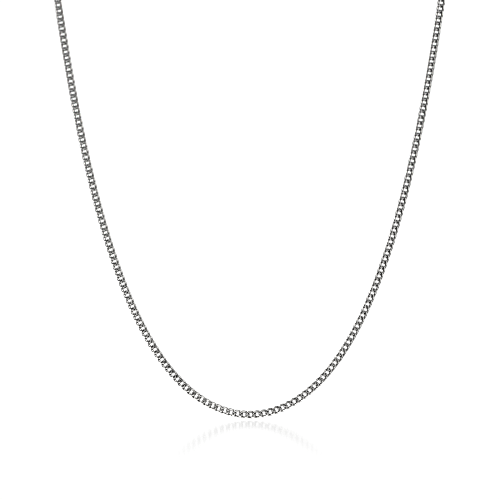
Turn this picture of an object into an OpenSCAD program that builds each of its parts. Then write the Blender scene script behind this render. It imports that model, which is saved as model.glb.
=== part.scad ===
// Curb chain necklace: a closed loop of twisted oval links and a plain barrel clasp.
// The loop hangs as when worn. X runs across the wearer, Y from front to back, Z up,
// and the origin is at the nape, where the loop sits on the neck.
//
// The route is drawn on a flat sheet first. There x is the same X, and v is the distance up
// the sheet from the lowest link. The sheet leans back at the front and then bends backwards
// over the shoulders, so every link lies flat on it.

/* [Chain] */
// Length of the closed loop, with the clasp
loop_length = 500; // [494:1:508]
// Number of links
link_count = 247; // [245:1:248]
// Distance from one link to the next
link_pitch = 1.975; // [1.97:0.005:1.99]
// Radius of a link's rounded ends, to the middle of the wire
end_radius = 0.9; // [0.9:0.01:0.92]
// Diameter of the wire
wire_d = 0.59; // [0.5:0.01:0.59]
// How far the chain has slid round its loop from the symmetrical place
slid = 0.37; // [-1:0.01:1]

/* [Hang] */
// Radius of the hanging curve at its lowest point
bottom_radius = 21.6; // [21:0.1:26]
// Height of the flat front, measured up its slope
front_height = 138; // [125:1:142]
// Lean of the front from the vertical, in degrees
front_lean = 24.6; // [0:0.1:35]
// Radius on which the sheet bends back over the shoulders
shoulder_radius = 80; // [60:1:150]
// Heading at which the side curve becomes the neck curve, in degrees
neck_heading = 135; // [125:1:145]

/* [Clasp] */
// Outer diameter of the barrel
barrel_d = 3; // [2.4:0.1:4]
// Radius of the rounding at the barrel's ends
barrel_round = 0.7; // [0.3:0.05:1]
// Radius of each eye, to the middle of its wire
eye_radius = 0.98; // [0.95:0.01:1.05]
// Diameter of an eye's wire
eye_wire_d = 0.58; // [0.5:0.02:0.6]

/* [Hidden] */
$fn = 24;
silver = "#c8c9cb";
degrees_in_radian = 180 / PI;

// The front hangs in a catenary, up to front_height.
front_arc = sqrt(front_height * (front_height + 2 * bottom_radius));
front_x = catenary_x(front_arc);
front_heading = atan(front_arc / bottom_radius);

// Two arcs on each side carry on from it and close the loop at its stated length.
half_loop = loop_length / 2;
side_turn = (neck_heading - front_heading) / degrees_in_radian;
neck_turn = (180 - neck_heading) / degrees_in_radian;
side_reach = (sin(neck_heading) - sin(front_heading)) / sin(neck_heading);
side_radius = (half_loop - front_arc - front_x * neck_turn / sin(neck_heading))
    / (side_turn + neck_turn * side_reach);
side_arc = front_arc + side_radius * side_turn;
side_x = front_x + side_radius * (sin(neck_heading) - sin(front_heading));
side_v = front_height + side_radius * (cos(front_heading) - cos(neck_heading));
neck_radius = side_x / sin(neck_heading);
nape_v = side_v + neck_radius * (cos(neck_heading) + 1);

// A link is six arcs of wire: a half circle at each end, turned out of the face in opposite
// senses, and an S of two quarter circles on each side that joins them. The turn is the small
// angle of the 336-527-625 triangle, about 32.5 degrees, so every joint between two arcs lies
// on short exact decimals.
end_turn = asin(0.5376);
strand_y = 0.8432 * end_radius;
strand_radius = 0.5376 * end_radius;
link_half = end_radius + strand_radius;

// Each eye reaches as far into its end link as the next link would.
end_link_arc = (link_count - 1) / 2 * link_pitch;
link_reach = link_pitch - link_half;
eye_offset = half_loop - end_link_arc - link_reach - eye_radius;
barrel_length = 2 * (eye_offset - eye_radius + eye_wire_d / 4);
clasp_sag = neck_radius * (1 - cos(eye_offset / neck_radius * degrees_in_radian));

function asinh(x) = ln(x + sqrt(x * x + 1));
function catenary_x(s) = bottom_radius * asinh(s / bottom_radius);

// A place on the flat sheet, s along the loop from its lowest point: [x, v, heading].
function half_route(s) =
    s < front_arc ? front_place(s)
    : s < side_arc ? arc_place(s - front_arc, front_x, front_height, front_heading, side_radius)
    : arc_place(s - side_arc, side_x, side_v, neck_heading, neck_radius);
function front_place(s) =
    [catenary_x(s), sqrt(bottom_radius ^ 2 + s ^ 2) - bottom_radius, atan(s / bottom_radius)];
function arc_place(s, x, v, heading, r) =
    let (h = heading + s / r * degrees_in_radian)
    [x + r * (sin(h) - sin(heading)), v + r * (cos(heading) - cos(h)), h];
function route(s) =
    s > half_loop ? route(s - loop_length)
    : s < 0 ? let (p = half_route(-s)) [-p.x, p.y, -p.z]
    : half_route(s);

// The sheet's side view: its lean from the vertical, and its [y, z], at v.
function lean(v) = front_lean + max(0, v - front_height) / shoulder_radius * degrees_in_radian;
function sheet(v) =
    min(v, front_height) * [sin(front_lean), cos(front_lean)]
    + shoulder_radius * [cos(front_lean) - cos(lean(v)), sin(lean(v)) - sin(front_lean)];

// Puts a piece on the route: its +X along the loop, its +Y across the face, its +Z out of it.
module on_route(s) {
    place = route(s);
    side = sheet(place.y) - sheet(nape_v);
    translate([place.x, side.x, side.y])
        rotate([90 - lean(place.y), 0, 0])
            rotate([0, 0, place.z])
                children();
}

module wire_arc(r, turn) {
    rotate_extrude(angle = turn)
        translate([r, 0])
            circle(d = wire_d);
}

module link_end() {
    translate([strand_radius, 0, 0])
        rotate([-end_turn, 0, 0])
            rotate([0, 0, -90])
                wire_arc(end_radius, 180);
}

module half_strand() {
    translate([strand_radius, strand_y, 0])
        rotate([-90, 0, 0])
            rotate([0, 0, 90])
                wire_arc(strand_radius, 90);
}

module link() {
    link_end();
    rotate([0, 0, 180]) link_end();
    half_strand();
    rotate([0, 0, 180]) half_strand();
    rotate([0, 180, 0]) half_strand();
    rotate([180, 0, 0]) half_strand();
}

module links(first, last) {
    for (i = [first : last])
        on_route(slid + (i - (link_count - 1) / 2) * link_pitch)
            link();
}

module barrel_profile() {
    r = barrel_d / 2;
    straight = barrel_length - 2 * barrel_round;
    translate([0, -barrel_length / 2]) square([r - barrel_round, barrel_length]);
    translate([0, -straight / 2]) square([r, straight]);
    for (end = [-1, 1])
        translate([r - barrel_round, end * straight / 2]) circle(r = barrel_round);
}

// The eye at either end is turned like the end of a link.
module eye(end) {
    translate([end * eye_offset, 0, 0])
        rotate([-end * end_turn, 0, 0])
            rotate_extrude()
                translate([eye_radius, 0])
                    circle(d = eye_wire_d);
}

module chain_left() {
    color(silver) links(0, floor(link_count / 2));
}

module chain_right() {
    color(silver) links(floor(link_count / 2) + 1, link_count - 1);
}

module clasp() {
    color(silver)
        on_route(half_loop + slid)
            translate([0, clasp_sag, 0]) {
                rotate([0, 90, 0])
                    rotate_extrude()
                        barrel_profile();
                eye(-1);
                eye(1);
            }
}

chain_left();
chain_right();
clasp();
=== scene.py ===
"""Curb chain necklace: a closed loop of twisted oval links, and the stage that it is shown on.

Lengths are in metres and angles in radians. X runs across the wearer, Y from front to back and
Z up, with the origin at the nape. The file is run as a script and needs no installing.
"""

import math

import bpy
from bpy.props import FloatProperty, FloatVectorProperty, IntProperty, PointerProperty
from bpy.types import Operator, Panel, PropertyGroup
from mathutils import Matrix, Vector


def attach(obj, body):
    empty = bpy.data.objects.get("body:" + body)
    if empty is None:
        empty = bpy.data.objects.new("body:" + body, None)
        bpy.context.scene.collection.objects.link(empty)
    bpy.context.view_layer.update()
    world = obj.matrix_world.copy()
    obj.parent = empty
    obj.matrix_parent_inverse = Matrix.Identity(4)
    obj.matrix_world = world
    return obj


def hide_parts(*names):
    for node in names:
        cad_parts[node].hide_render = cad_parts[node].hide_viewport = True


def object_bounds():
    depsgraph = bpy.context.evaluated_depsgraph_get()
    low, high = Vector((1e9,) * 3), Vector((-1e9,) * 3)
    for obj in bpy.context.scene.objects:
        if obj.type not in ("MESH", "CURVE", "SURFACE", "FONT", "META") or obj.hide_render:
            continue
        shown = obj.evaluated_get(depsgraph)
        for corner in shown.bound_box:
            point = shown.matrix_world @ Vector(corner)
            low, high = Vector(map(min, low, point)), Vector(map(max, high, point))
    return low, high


bl_info = {
    "name": "Curb Chain Necklace",
    "version": (1, 0, 0),
    "blender": (4, 5, 0),
    "location": "View3D > Sidebar > Necklace",
    "description": "Makes a curb chain necklace from its sizes and sets it on a white light table",
    "category": "Add Mesh",
}

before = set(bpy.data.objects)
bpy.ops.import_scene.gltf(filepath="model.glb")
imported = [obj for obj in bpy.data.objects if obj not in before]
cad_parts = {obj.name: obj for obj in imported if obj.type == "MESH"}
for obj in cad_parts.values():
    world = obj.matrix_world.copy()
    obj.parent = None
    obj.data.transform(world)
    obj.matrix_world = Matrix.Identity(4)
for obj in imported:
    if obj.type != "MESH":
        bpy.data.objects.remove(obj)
cad_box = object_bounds()

MM = 0.001
BODY = "root"
LINK_NODES = ("chain_left", "chain_right")


def srgb(code):
    """Turns a colour such as #D8D8D6 into Blender's linear values."""
    steps = [int(code[i:i + 2], 16) / 255 for i in (1, 3, 5)]
    return tuple(c / 12.92 if c <= 0.04045 else ((c + 0.055) / 1.055) ** 2.4 for c in steps)


def length(name, description, default):
    """A size that is shown to the user in the scene's units."""
    return FloatProperty(
        name=name, description=description, default=default, min=0.0,
        precision=6, subtype="DISTANCE", unit="LENGTH",
    )


def angle(name, description, degrees):
    """An angle that is given in degrees here and held in radians."""
    return FloatProperty(
        name=name, description=description, default=math.radians(degrees),
        subtype="ANGLE", unit="ROTATION",
    )


def share(name, description, default):
    """A part of one, from 0 to 1."""
    return FloatProperty(
        name=name, description=description, default=default, min=0.0, max=1.0, subtype="FACTOR",
    )


def colour(name, description, code):
    """A colour that is given as an sRGB code."""
    return FloatVectorProperty(
        name=name, description=description, default=srgb(code), min=0.0, max=1.0, subtype="COLOR",
    )


class LoopSizes(PropertyGroup):
    """The route of the chain. The values are those that the solid links were laid out with."""

    loop_length: length("Loop length", "Length of the closed loop, with the clasp", 500 * MM)
    link_count: IntProperty(name="Links", description="Number of links", default=247, min=3)
    link_pitch: length("Pitch", "Distance from one link to the next", 1.975 * MM)
    slid: FloatProperty(
        name="Slid", description="How far the chain has slid round its loop",
        default=0.37 * MM, precision=6, subtype="DISTANCE", unit="LENGTH",
    )
    bottom_radius: length("Bottom radius", "Radius of the hanging curve at its lowest point", 21.6 * MM)
    front_height: length("Front height", "Height of the flat front, up its slope", 138 * MM)
    front_lean: angle("Front lean", "Lean of the front from the vertical", 24.6)
    shoulder_radius: length("Shoulder radius", "Radius of the bend over the shoulders", 80 * MM)
    neck_heading: angle("Neck heading", "Heading at which the side curve becomes the neck curve", 135)


class LinkSizes(PropertyGroup):
    """One curb link: an oval of round wire, twisted until its faces lie flat."""

    wire: length("Wire", "Diameter of the wire", 0.66 * MM)
    half_length: length("Half length", "From the link's middle to that of the wire at its end", 1.37 * MM)
    half_width: length("Half width", "From the link's middle to that of the wire at its side", 0.83 * MM)
    squareness: FloatProperty(
        name="Squareness", description="Exponent of the oval: 2 is an ellipse",
        default=2.6, min=2.0, max=6.0,
    )
    twist: angle("Twist", "Turn of each end about the link's length", 44)
    roll: angle("Roll", "Lean of each link about the chain's run, its inner edge to the front", 5)
    level_roll: angle("Level roll", "The same lean where the chain runs level, at the bottom", 15)
    press: share("Press", "Thickness left after the link is pressed flat", 0.95)
    bends: IntProperty(name="Bends", description="Sections along the wire", default=12, min=8, max=24)
    sides: IntProperty(
        name="Sides", description="Sides of the wire before it is smoothed", default=5, min=5, max=12,
    )
    smoothing: IntProperty(name="Smoothing", description="Subdivision steps", default=1, min=0, max=2)
    # Painted shade in the joints: how far from a neighbour's wire it reaches, and the share of that reach
    # in which it is full.
    joint_reach: length("Joint shade reach", "How far from a neighbour's wire the tarnish reaches", 0.52 * MM)
    joint_core: share("Joint shade core", "Share of that reach in which the tarnish is full", 0.23)


class SilverFinish(PropertyGroup):
    """Polished sterling silver, as wire and as the turned barrel of the clasp."""

    bright: colour("Bright", "Fresh polished silver", "#FBFAF7")
    dull: colour("Dull", "Silver that has dulled between polishings", "#E6E4E0")
    # Painted shade, partly silver sulphide: the near black that the wire takes in the joints, where the
    # links shade each other.
    tarnish_and_shade: colour("Tarnish and shade", "Silver sulphide in the joints, where no cloth reaches", "#0C0B0B")
    roughness: share("Roughness", "Roughness of the polish on the wire", 0.05)
    barrel_roughness: share("Barrel roughness", "Roughness of the satin polish on the barrel", 0.32)
    joint_roughness: share("Joint roughness", "Roughness that the tarnish adds", 0.1)
    patch: length("Patch", "Size of the duller patches", 1.6 * MM)
    patch_dulling: share("Patch dulling", "How far a patch goes from bright to dull", 0.6)
    link_dulling: share("Link dulling", "How far one link may be duller than the next", 0.4)
    hairline: length("Hairline", "Distance between polishing marks, coarser than they are", 0.25 * MM)
    hairline_depth: length("Hairline depth", "Depth of the polishing marks", 0.02 * MM)
    hairline_strength: share("Hairline strength", "How much the polishing marks show", 0.05)


class StageSizes(PropertyGroup):
    """The light table, the wall round it and the camera."""

    table_drop: length("Table drop", "From the lowest link to the table", 0.26 * MM)
    table_radius: length("Table radius", "Radius of the light table", 2.6)
    polish: share("Polish", "Share of the polish on the table, as a clear coat", 0.32)
    polish_radius: length("Polish radius", "How far the table's polish reaches", 1.7)
    polish_core: share("Polish core", "Share of that radius in which the polish is even", 0.5)
    table_roughness: share("Table roughness", "Roughness of the table's polish", 0.036)
    wall_radius: length("Wall radius", "Radius of the white wall round the table", 3.2)
    wall_height: length("Wall height", "Height of the white wall above the table", 0.09)
    distance: length("Camera distance", "From the camera to the plane of the picture", 6.5)
    picture_width: length("Picture width", "Width of the picture at its plane", 150.6 * MM)
    picture_depth: length("Picture depth", "From the lowest link back to the plane of the picture", 40 * MM)
    eye_height: length("Eye height", "Height of the camera above the lowest link", 49.27 * MM)
    eye_side: length("Eye side", "How far the camera stands to the right of the middle", 0.13 * MM)


class Loop:
    """The chain's route. It is drawn on a flat sheet, which then leans back and bends over the shoulders.

    On the sheet x is the same X, and v is the distance up it from the lowest link.
    """

    def __init__(self, sizes):
        self.radius = sizes.bottom_radius
        self.front_height = sizes.front_height
        self.front_lean = sizes.front_lean
        self.shoulder_radius = sizes.shoulder_radius
        self.length = sizes.loop_length
        neck = sizes.neck_heading
        self.front_arc = math.sqrt(self.front_height * (self.front_height + 2 * self.radius))
        front_x = self.hanging_x(self.front_arc)
        front_heading = math.atan(self.front_arc / self.radius)
        neck_turn = math.pi - neck
        reach = (math.sin(neck) - math.sin(front_heading)) / math.sin(neck)
        spare = self.length / 2 - self.front_arc - front_x * neck_turn / math.sin(neck)
        side_radius = spare / (neck - front_heading + neck_turn * reach)
        self.side_arc = self.front_arc + side_radius * (neck - front_heading)
        side_x = front_x + side_radius * (math.sin(neck) - math.sin(front_heading))
        side_v = self.front_height + side_radius * (math.cos(front_heading) - math.cos(neck))
        neck_radius = side_x / math.sin(neck)
        self.side = (self.front_arc, front_x, self.front_height, front_heading, side_radius)
        self.neck = (self.side_arc, side_x, side_v, neck, neck_radius)
        self.nape = self.sheet(side_v + neck_radius * (math.cos(neck) + 1))

    def hanging_x(self, s):
        return self.radius * math.asinh(s / self.radius)

    def flat(self, s):
        """A place on the flat sheet, s along the loop from its lowest point: x, v and heading."""
        if s > self.length / 2:
            return self.flat(s - self.length)
        if s < 0:
            x, v, heading = self.flat(-s)
            return -x, v, -heading
        if s < self.front_arc:
            v = math.hypot(self.radius, s) - self.radius
            return self.hanging_x(s), v, math.atan(s / self.radius)
        start, x, v, heading, radius = self.side if s < self.side_arc else self.neck
        turned = heading + (s - start) / radius
        x += radius * (math.sin(turned) - math.sin(heading))
        v += radius * (math.cos(heading) - math.cos(turned))
        return x, v, turned

    def lean(self, v):
        return self.front_lean + max(0.0, v - self.front_height) / self.shoulder_radius

    def sheet(self, v):
        """The sheet's side view: Y and Z at v."""
        start = self.front_lean
        lean = self.lean(v)
        flat = min(v, self.front_height)
        y = flat * math.sin(start) + self.shoulder_radius * (math.cos(start) - math.cos(lean))
        z = flat * math.cos(start) + self.shoulder_radius * (math.sin(lean) - math.sin(start))
        return y, z

    def place(self, s, roll=0.0, level_roll=0.0):
        """Where a link sits: its middle, the way along the loop and the way out of its face."""
        x, v, heading = self.flat(s)
        lean = self.lean(v)
        y, z = self.sheet(v)
        middle = Vector((x, y - self.nape[0], z - self.nape[1]))
        up = Vector((0, math.sin(lean), math.cos(lean)))
        along = Vector((math.cos(heading), 0, 0)) + up * math.sin(heading)
        facing = Vector((0, -math.cos(lean), math.sin(lean)))
        level = max(0.0, math.cos(heading))
        facing = Matrix.Rotation(roll + (level_roll - roll) * level, 3, along) @ facing
        return middle, along, facing


# The Math node and the commonest settings of it and of Map Range, which every tree uses.
MATH = "ShaderNodeMath"
PLUS = {"operation": "ADD"}
LESS = {"operation": "SUBTRACT"}
TIMES = {"operation": "MULTIPLY"}
OVER = {"operation": "DIVIDE"}
SINE = {"operation": "SINE"}
COSINE = {"operation": "COSINE"}
EASED = {"interpolation_type": "SMOOTHSTEP"}
WHITE = (*srgb("#FFFFFF"), 1)
BLACK = (*srgb("#000000"), 1)
# Lit surfaces shine a little past full white, so that they show no grain.
LIT_WHITE = 1.05


def add(tree, kind, settings=None, links=()):
    """Adds a node. Settings are its own values, and links fill its inputs, by name or in order."""
    node = tree.nodes.new(kind)
    for name, value in (settings or {}).items():
        setattr(node, name, value)
    pairs = links.items() if isinstance(links, dict) else enumerate(links)
    for name, value in pairs:
        if isinstance(value, bpy.types.Node):
            value = value.outputs[0]
        if isinstance(value, bpy.types.NodeSocket):
            tree.links.new(value, node.inputs[name])
        else:
            node.inputs[name].default_value = value
    return node


def new_material(name):
    material = bpy.data.materials.new(name)
    material.use_nodes = True
    material.node_tree.nodes.clear()
    return material


def new_mesh(name, points, faces=()):
    mesh = bpy.data.meshes.new(name)
    mesh.from_pydata([tuple(p) for p in points], [], [tuple(f) for f in faces])
    return mesh


def new_object(name, data):
    thing = bpy.data.objects.new(name, data)
    bpy.context.scene.collection.objects.link(thing)
    return thing


# The inputs of the link tree, with their kinds.
LINK_INPUTS = {
    "Geometry": "Geometry",
    "Wire": "Float",
    "Half Length": "Float",
    "Half Width": "Float",
    "Squareness": "Float",
    "Twist": "Float",
    "Press": "Float",
    "Pitch": "Float",
    "Joint Shade Reach": "Float",
    "Joint Shade Core": "Float",
    "Bends": "Int",
    "Sides": "Int",
    "Finish": "Material",
}
# One step of smoothing draws the coarse wire in, to these shares of its size, so it starts larger.
RING_DRAWN = 0.74
ENDS_DRAWN = 0.95
STRANDS_DRAWN = 0.97


def link_oval(tree, given):
    """The middle line of a link: a circle's points moved out to a squarer oval, then twisted along X."""
    circle_points = 96
    circle = add(
        tree, "GeometryNodeCurvePrimitiveCircle", {"mode": "RADIUS"}, {"Resolution": circle_points},
    )
    index = add(tree, "GeometryNodeInputIndex")
    # Half a step on, so that no point lies on the oval's own axes.
    half_on = add(tree, MATH, PLUS, (index, 0.5))
    turn = add(tree, MATH, TIMES, (half_on, 2 * math.pi / circle_points))
    power = add(tree, MATH, OVER, (2.0, given["Squareness"]))
    parts = []
    reaches = []
    for wave, size, drawn in ((COSINE, "Half Length", ENDS_DRAWN), (SINE, "Half Width", STRANDS_DRAWN)):
        swing = add(tree, MATH, wave, (turn,))
        amount = add(tree, MATH, {"operation": "ABSOLUTE"}, (swing,))
        swell = add(tree, MATH, {"operation": "POWER"}, (amount, power))
        sign = add(tree, MATH, {"operation": "SIGN"}, (swing,))
        part = add(tree, MATH, TIMES, (swell, sign))
        full = add(tree, MATH, OVER, (given[size], drawn))
        parts.append(part)
        reaches.append(add(tree, MATH, TIMES, (part, full)))
    lengthwise, sideways = reaches
    # The twist grows evenly along the link, from one end to the other.
    whole_twist = add(tree, MATH, TIMES, (given["Twist"], -1.0))
    twist = add(tree, MATH, TIMES, (parts[0], whole_twist))
    across = add(tree, MATH, TIMES, (sideways, add(tree, MATH, COSINE, (twist,))))
    deep = add(tree, MATH, TIMES, (sideways, add(tree, MATH, SINE, (twist,))))
    pressed = add(tree, MATH, TIMES, (deep, given["Press"]))
    spot = add(tree, "ShaderNodeCombineXYZ", None, (lengthwise, across, pressed))
    oval = add(tree, "GeometryNodeSetPosition", None, {"Geometry": circle, "Position": spot})
    return add(tree, "GeometryNodeResampleCurve", None, {"Curve": oval, "Count": given["Bends"]})


def marked_wire(tree, given, oval):
    """Wire round the oval, with an attribute that is 1 where the two neighbours lie close: painted shade,
    partly silver sulphide.
    """
    half_wire = add(tree, MATH, TIMES, (given["Wire"], 0.5))
    section = add(
        tree, "GeometryNodeCurvePrimitiveCircle", {"mode": "RADIUS"},
        {"Resolution": given["Sides"], "Radius": add(tree, MATH, OVER, (half_wire, RING_DRAWN))},
    )
    spine = add(tree, "GeometryNodeCaptureAttribute", None, {"Geometry": oval})
    spine.capture_items.new("VECTOR", "Spine")
    own = add(tree, "GeometryNodeInputPosition")
    tree.links.new(own.outputs[0], spine.inputs["Spine"])
    wire = add(tree, "GeometryNodeCurveToMesh", None, {"Curve": spine, "Profile Curve": section})

    # The neighbours are the same oval, one pitch away on either side.
    thread = add(tree, "GeometryNodeCurveToMesh", None, {"Curve": oval})
    apart = add(tree, "ShaderNodeCombineXYZ", None, {"X": given["Pitch"]})
    neighbours = add(tree, "GeometryNodeJoinGeometry")
    for way in (1.0, -1.0):
        shift = add(tree, "ShaderNodeVectorMath", {"operation": "SCALE"}, {"Vector": apart, "Scale": way})
        moved = add(tree, "GeometryNodeTransform", None, {"Geometry": thread, "Translation": shift})
        tree.links.new(moved.outputs[0], neighbours.inputs[0])
    # The skin as it will lie once it is smoothed. A Mix node's vectors are its inputs 4 and 5.
    skin = add(
        tree, "ShaderNodeMix", {"data_type": "VECTOR"},
        {"Factor": RING_DRAWN, 4: spine.outputs["Spine"], 5: own},
    )
    near = add(
        tree, "GeometryNodeProximity", {"target_element": "EDGES"},
        {0: neighbours, "Sample Position": skin.outputs[1]},
    )
    # Painted shade: full within the core of the reach from a neighbour's wire and gone at its end, where
    # the links shade each other; partly silver sulphide too.
    gap = add(tree, MATH, LESS, (near.outputs["Distance"], half_wire))
    core = add(tree, MATH, TIMES, (given["Joint Shade Reach"], given["Joint Shade Core"]))
    painted_shade = add(
        tree, "ShaderNodeMapRange", EASED,
        {"Value": gap, "From Min": core, "From Max": given["Joint Shade Reach"], "To Min": 1.0, "To Max": 0.0},
    )
    return add(
        tree, "GeometryNodeStoreNamedAttribute", {"data_type": "FLOAT", "domain": "POINT"},
        {"Geometry": wire, "Name": "joint", "Value": painted_shade},
    )


def link_tree():
    """Node tree that sets one curb link on every point, its X along the chain and its Z out of the face."""
    tree = bpy.data.node_groups.new("curb_links", "GeometryNodeTree")
    sockets = {
        name: tree.interface.new_socket(name=name, in_out="INPUT", socket_type="NodeSocket" + kind)
        for name, kind in LINK_INPUTS.items()
    }
    tree.interface.new_socket(name="Geometry", in_out="OUTPUT", socket_type="NodeSocketGeometry")
    given = add(tree, "NodeGroupInput").outputs
    wire = marked_wire(tree, given, link_oval(tree, given))
    link = add(tree, "GeometryNodeSetShadeSmooth", None, {"Geometry": wire})

    vector = {"data_type": "FLOAT_VECTOR"}
    along = add(tree, "GeometryNodeInputNamedAttribute", vector, {"Name": "along"})
    facing = add(tree, "GeometryNodeInputNamedAttribute", vector, {"Name": "facing"})
    turned = add(
        tree, "FunctionNodeAxesToRotation", {"primary_axis": "X", "secondary_axis": "Z"},
        {"Primary Axis": along, "Secondary Axis": facing},
    )
    placed = add(
        tree, "GeometryNodeInstanceOnPoints", None,
        {"Points": given["Geometry"], "Instance": link, "Rotation": turned},
    )
    index = add(tree, "GeometryNodeInputIndex")
    lot = add(
        tree, "FunctionNodeRandomValue", {"data_type": "FLOAT"},
        {"Min": 0.0, "Max": 1.0, "ID": index, "Seed": 5},
    )
    toned = add(
        tree, "GeometryNodeStoreNamedAttribute", {"data_type": "FLOAT", "domain": "INSTANCE"},
        {"Geometry": placed, "Name": "tone", "Value": lot.outputs["Value"]},
    )
    real = add(tree, "GeometryNodeRealizeInstances", None, {"Geometry": toned})
    finished = add(tree, "GeometryNodeSetMaterial", None, {"Geometry": real, "Material": given["Finish"]})
    add(tree, "NodeGroupOutput", None, {"Geometry": finished})
    return tree, sockets


def polished_silver(name, finish, roughness, worn_and_shaded):
    """Polished sterling silver: a bright, nearly neutral mirror with soft hairlines from the cloth.

    Worn and shaded silver has links that have dulled by different amounts, and painted shade, partly silver
    sulphide, that turns its joints near black.
    """
    material = new_material(name)
    tree = material.node_tree
    where = add(tree, "ShaderNodeTexCoord").outputs["Object"]

    # Duller patches, about as large as a link, where the noise is high.
    dull_from = 0.35
    dull_to = 0.75
    patches = add(
        tree, "ShaderNodeTexNoise", None, {"Vector": where, "Scale": 1 / finish.patch, "Detail": 3.0},
    ).outputs["Fac"]
    amount = add(
        tree, "ShaderNodeMapRange", EASED,
        {"Value": patches, "From Min": dull_from, "From Max": dull_to, "To Max": finish.patch_dulling},
    )
    if worn_and_shaded:
        tone = add(tree, "ShaderNodeAttribute", {"attribute_name": "tone"}).outputs["Fac"]
        duller = add(tree, MATH, TIMES, (tone, finish.link_dulling))
        amount = add(tree, MATH, PLUS, (amount, duller))
    # A Mix node's colours are its inputs 6 and 7.
    silver = add(
        tree, "ShaderNodeMix", {"data_type": "RGBA"},
        {"Factor": amount, 6: (*finish.bright, 1), 7: (*finish.dull, 1)},
    ).outputs[2]

    # Hairlines: noise stretched along X, as the cloth runs along the wire. They vary the roughness.
    stretch = 4.0
    spread = 0.5
    run = add(tree, "ShaderNodeMapping", None, {"Vector": where, "Scale": (1 / stretch, 1.0, 1.0)})
    lines = add(
        tree, "ShaderNodeTexNoise", None, {"Vector": run, "Scale": 1 / finish.hairline, "Detail": 2.0},
    ).outputs["Fac"]
    rough = add(
        tree, "ShaderNodeMapRange", None,
        {"Value": lines, "To Min": roughness * (1 - spread), "To Max": roughness * (1 + spread)},
    )
    bump = add(
        tree, "ShaderNodeBump", None,
        {"Strength": finish.hairline_strength, "Distance": finish.hairline_depth, "Height": lines},
    )
    if worn_and_shaded:
        # Painted shade, partly silver sulphide: near black and a little rougher where a neighbouring link
        # lies close.
        joint = add(tree, "ShaderNodeAttribute", {"attribute_name": "joint"}).outputs["Fac"]
        silver = add(
            tree, "ShaderNodeMix", {"data_type": "RGBA"},
            {"Factor": joint, 6: silver, 7: (*finish.tarnish_and_shade, 1)},
        ).outputs[2]
        rougher = add(tree, MATH, TIMES, (joint, finish.joint_roughness))
        rough = add(tree, MATH, PLUS, (rough, rougher))
    skin = add(
        tree, "ShaderNodeBsdfPrincipled", None,
        {"Base Color": silver, "Metallic": 1.0, "Roughness": rough, "Normal": bump},
    )
    add(tree, "ShaderNodeOutputMaterial", None, {"Surface": skin})
    return material


class NECKLACE_OT_links(Operator):
    """Make the curb links along the whole loop, in place of the two solid chain halves"""

    bl_idname = "necklace.links"
    bl_label = "Curb Links"

    def execute(self, context):
        route = context.scene.necklace_loop
        sizes = context.scene.necklace_link
        silver = context.scene.necklace_silver
        loop = Loop(route)
        middle = (route.link_count - 1) / 2
        places = [
            loop.place(route.slid + (i - middle) * route.link_pitch, sizes.roll, sizes.level_roll)
            for i in range(route.link_count)
        ]
        points = new_mesh("link_places", [place[0] for place in places])
        for column, name in ((1, "along"), (2, "facing")):
            attribute = points.attributes.new(name, "FLOAT_VECTOR", "POINT")
            attribute.data.foreach_set("vector", [v for place in places for v in place[column]])
        host = new_object("link_places", points)
        tree, sockets = link_tree()
        modifier = host.modifiers.new("curb_links", "NODES")
        modifier.node_group = tree
        values = {
            "Wire": sizes.wire,
            "Half Length": sizes.half_length,
            "Half Width": sizes.half_width,
            "Squareness": sizes.squareness,
            "Twist": sizes.twist,
            "Press": sizes.press,
            "Pitch": route.link_pitch,
            "Joint Shade Reach": sizes.joint_reach,
            "Joint Shade Core": sizes.joint_core,
            "Bends": sizes.bends,
            "Sides": sizes.sides,
            "Finish": polished_silver("sterling_silver_polished_wire", silver, silver.roughness, True),
        }
        for name, value in values.items():
            modifier[sockets[name].identifier] = value
        graph = context.evaluated_depsgraph_get()
        mesh = bpy.data.meshes.new_from_object(
            host.evaluated_get(graph), preserve_all_data_layers=True, depsgraph=graph
        )
        if not mesh.polygons:
            raise RuntimeError("the link tree made no faces")
        bpy.data.objects.remove(host)
        links = new_object("curb_links", mesh)
        smooth = links.modifiers.new("round_wire", "SUBSURF")
        smooth.levels = sizes.smoothing
        smooth.render_levels = sizes.smoothing
        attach(links, BODY)
        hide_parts(*LINK_NODES)
        return {"FINISHED"}


class NECKLACE_OT_clasp(Operator):
    """Give the solid clasp its turned and polished silver"""

    bl_idname = "necklace.clasp"
    bl_label = "Barrel Clasp"

    def execute(self, context):
        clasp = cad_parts["clasp"]
        silver = context.scene.necklace_silver
        finish = polished_silver("sterling_silver_turned_barrel", silver, silver.barrel_roughness, False)
        clasp.data.materials.clear()
        clasp.data.materials.append(finish)
        return {"FINISHED"}


# The studio's lights, as seen from the necklace. A light is even up to half its width and then
# fades over its soft edge, both in degrees.
NARROW = (9, 14)
WIDE = (20, 18)
SOFTBOXES = (
    # name, azimuth and elevation in degrees, half width and edge, strength
    ("front_right", 28, 4, NARROW, 1.5),
    ("side_right", 105, 27, WIDE, 0.8),
    ("top_right", 53, 45, WIDE, 0.5),
    ("low_right", 120, -31, NARROW, 2.4),
    ("low_back", 140, -50, NARROW, 1.8),
    ("under_front", 8, -52, WIDE, 2.0),
    ("under_left", -130, -45, WIDE, 2.1),
    ("side_left", -70, -23, NARROW, 2.0),
    ("rim_left", -97, 31, NARROW, 0.8),
    ("top_left", -85, 67, NARROW, 1.9),
    ("back_left", -150, 38, NARROW, 2.5),
)
ROOM_LIGHT = 0.01


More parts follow.
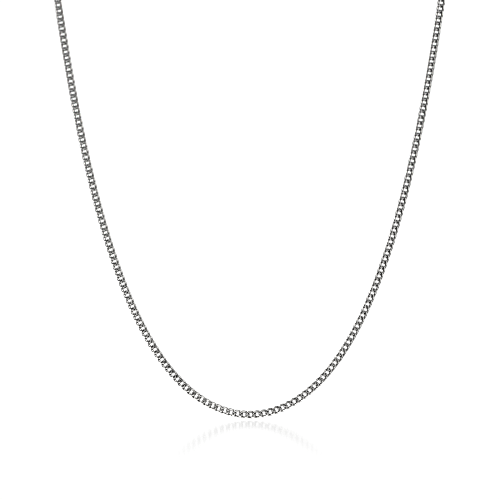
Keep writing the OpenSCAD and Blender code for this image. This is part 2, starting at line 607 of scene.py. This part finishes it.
def studio_world():
    """White behind all that the camera sees, and soft lights in a dim room for the silver to mirror."""
    world = bpy.data.worlds.new("studio")
    world.use_nodes = True
    tree = world.node_tree
    tree.nodes.clear()
    way = add(tree, "ShaderNodeTexCoord").outputs["Generated"]
    light = ROOM_LIGHT
    for name, azimuth, elevation, (half, edge), strength in SOFTBOXES:
        a, e = math.radians(azimuth), math.radians(elevation)
        at = (math.sin(a) * math.cos(e), -math.cos(a) * math.cos(e), math.sin(e))
        dot = add(tree, "ShaderNodeVectorMath", {"operation": "DOT_PRODUCT"}, (way, at))
        box = add(
            tree, "ShaderNodeMapRange", {**EASED, "label": name},
            {
                "Value": dot.outputs["Value"],
                "From Min": math.cos(math.radians(half + edge)),
                "From Max": math.cos(math.radians(half)),
                "To Max": strength,
            },
        )
        light = add(tree, MATH, PLUS, (light, box))
    room = add(tree, "ShaderNodeBackground", None, {"Color": WHITE, "Strength": light})
    white = add(tree, "ShaderNodeBackground", None, {"Color": WHITE, "Strength": LIT_WHITE})
    seen = add(tree, "ShaderNodeLightPath").outputs["Is Camera Ray"]
    both = add(tree, "ShaderNodeMixShader", None, (seen, room, white))
    add(tree, "ShaderNodeOutputWorld", None, {"Surface": both})
    return world


def light_table(stage):
    """Opal acrylic lit from below: pure white, with a thin polish that mirrors the lowest links faintly."""
    material = new_material("opal_acrylic_light_table")
    tree = material.node_tree
    where = add(tree, "ShaderNodeTexCoord").outputs["Object"]
    away = add(tree, "ShaderNodeVectorMath", {"operation": "LENGTH"}, (where,)).outputs["Value"]
    polish = add(
        tree, "ShaderNodeMapRange", EASED,
        {
            "Value": away,
            "From Min": stage.polish_radius * stage.polish_core,
            "From Max": stage.polish_radius,
            "To Min": stage.polish,
            "To Max": 0.0,
        },
    )
    top = add(
        tree, "ShaderNodeBsdfPrincipled", None,
        {
            "Base Color": BLACK,
            "Specular IOR Level": 0.0,
            "Coat Weight": polish,
            "Coat Roughness": stage.table_roughness,
            "Emission Color": WHITE,
            "Emission Strength": LIT_WHITE,
        },
    )
    add(tree, "ShaderNodeOutputMaterial", None, {"Surface": top})
    return material


def lit_paper():
    """White paper under even light, as plain as the photo's ground."""
    material = new_material("white_paper_lit")
    tree = material.node_tree
    glow = add(tree, "ShaderNodeEmission", None, {"Color": WHITE, "Strength": LIT_WHITE})
    add(tree, "ShaderNodeOutputMaterial", None, {"Surface": glow})
    return material


RING_CORNERS = 48


def ring(radius, y, z):
    """Points evenly round a level circle."""
    turns = [2 * math.pi * i / RING_CORNERS for i in range(RING_CORNERS)]
    return [(radius * math.cos(turn), radius * math.sin(turn) + y, z) for turn in turns]


class NECKLACE_OT_stage(Operator):
    """Set up the light table, the studio light and the camera"""

    bl_idname = "necklace.stage"
    bl_label = "Stage"

    def execute(self, context):
        scene = context.scene
        stage = scene.necklace_stage
        lowest = Loop(scene.necklace_loop).place(0)[0]
        floor_z = cad_box[0].z - stage.table_drop

        # The silver does not mirror the table, because the lights below it stand for its glow.
        rim = ring(stage.table_radius, lowest.y, floor_z)
        table = new_object("light_table", new_mesh("light_table", rim, [range(RING_CORNERS)]))
        table.data.materials.append(light_table(stage))
        table.visible_glossy = False
        table.visible_shadow = False

        # A low wall all round for the table's polish to mirror, so that the table stays white.
        foot = ring(stage.wall_radius, lowest.y, floor_z)
        head = ring(stage.wall_radius, lowest.y, floor_z + stage.wall_height)
        corners = [(i, (i + 1) % RING_CORNERS) for i in range(RING_CORNERS)]
        faces = [(a, b, b + RING_CORNERS, a + RING_CORNERS) for a, b in corners]
        wall = new_object("white_wall", new_mesh("white_wall", foot + head, faces))
        wall.data.materials.append(lit_paper())
        wall.visible_camera = False
        wall.visible_shadow = False

        scene.world = studio_world()
        # The photo is crisp, so the pixel filter is narrower than Blender's own.
        scene.cycles.filter_width = 0.9
        scene.view_settings.view_transform = "Standard"
        scene.view_settings.look = "None"

        lens = bpy.data.cameras.new("front")
        lens.lens = lens.sensor_width * stage.distance / stage.picture_width
        camera = new_object("front", lens)
        picture_y = lowest.y + stage.picture_depth
        camera.location = (stage.eye_side, picture_y - stage.distance, lowest.z + stage.eye_height)
        camera.rotation_euler = (math.pi / 2, 0, 0)
        scene.camera = camera
        return {"FINISHED"}


class NECKLACE_PT_panel(Panel):
    """Lists the pieces of the necklace and its stage"""

    bl_idname = "NECKLACE_PT_panel"
    bl_label = "Necklace"
    bl_space_type = "VIEW_3D"
    bl_region_type = "UI"
    bl_category = "Necklace"

    def draw(self, context):
        for group, operator in PANEL_ROWS:
            box = self.layout.box()
            sizes = getattr(context.scene, group)
            for name in sizes.__annotations__:
                box.prop(sizes, name)
            if operator:
                box.operator(operator)


PANEL_ROWS = (
    ("necklace_loop", None),
    ("necklace_link", "necklace.links"),
    ("necklace_silver", "necklace.clasp"),
    ("necklace_stage", "necklace.stage"),
)
GROUPS = {
    "necklace_loop": LoopSizes,
    "necklace_link": LinkSizes,
    "necklace_silver": SilverFinish,
    "necklace_stage": StageSizes,
}
CLASSES = (
    *GROUPS.values(),
    NECKLACE_OT_links,
    NECKLACE_OT_clasp,
    NECKLACE_OT_stage,
    NECKLACE_PT_panel,
)


def register():
    for kind in CLASSES:
        bpy.utils.register_class(kind)
    for name, group in GROUPS.items():
        setattr(bpy.types.Scene, name, PointerProperty(type=group))


def unregister():
    for name in GROUPS:
        delattr(bpy.types.Scene, name)
    for kind in reversed(CLASSES):
        bpy.utils.unregister_class(kind)


def main():
    register()
    bpy.ops.necklace.links()
    bpy.ops.necklace.clasp()
    bpy.ops.necklace.stage()


if __name__ == "__main__":
    main()
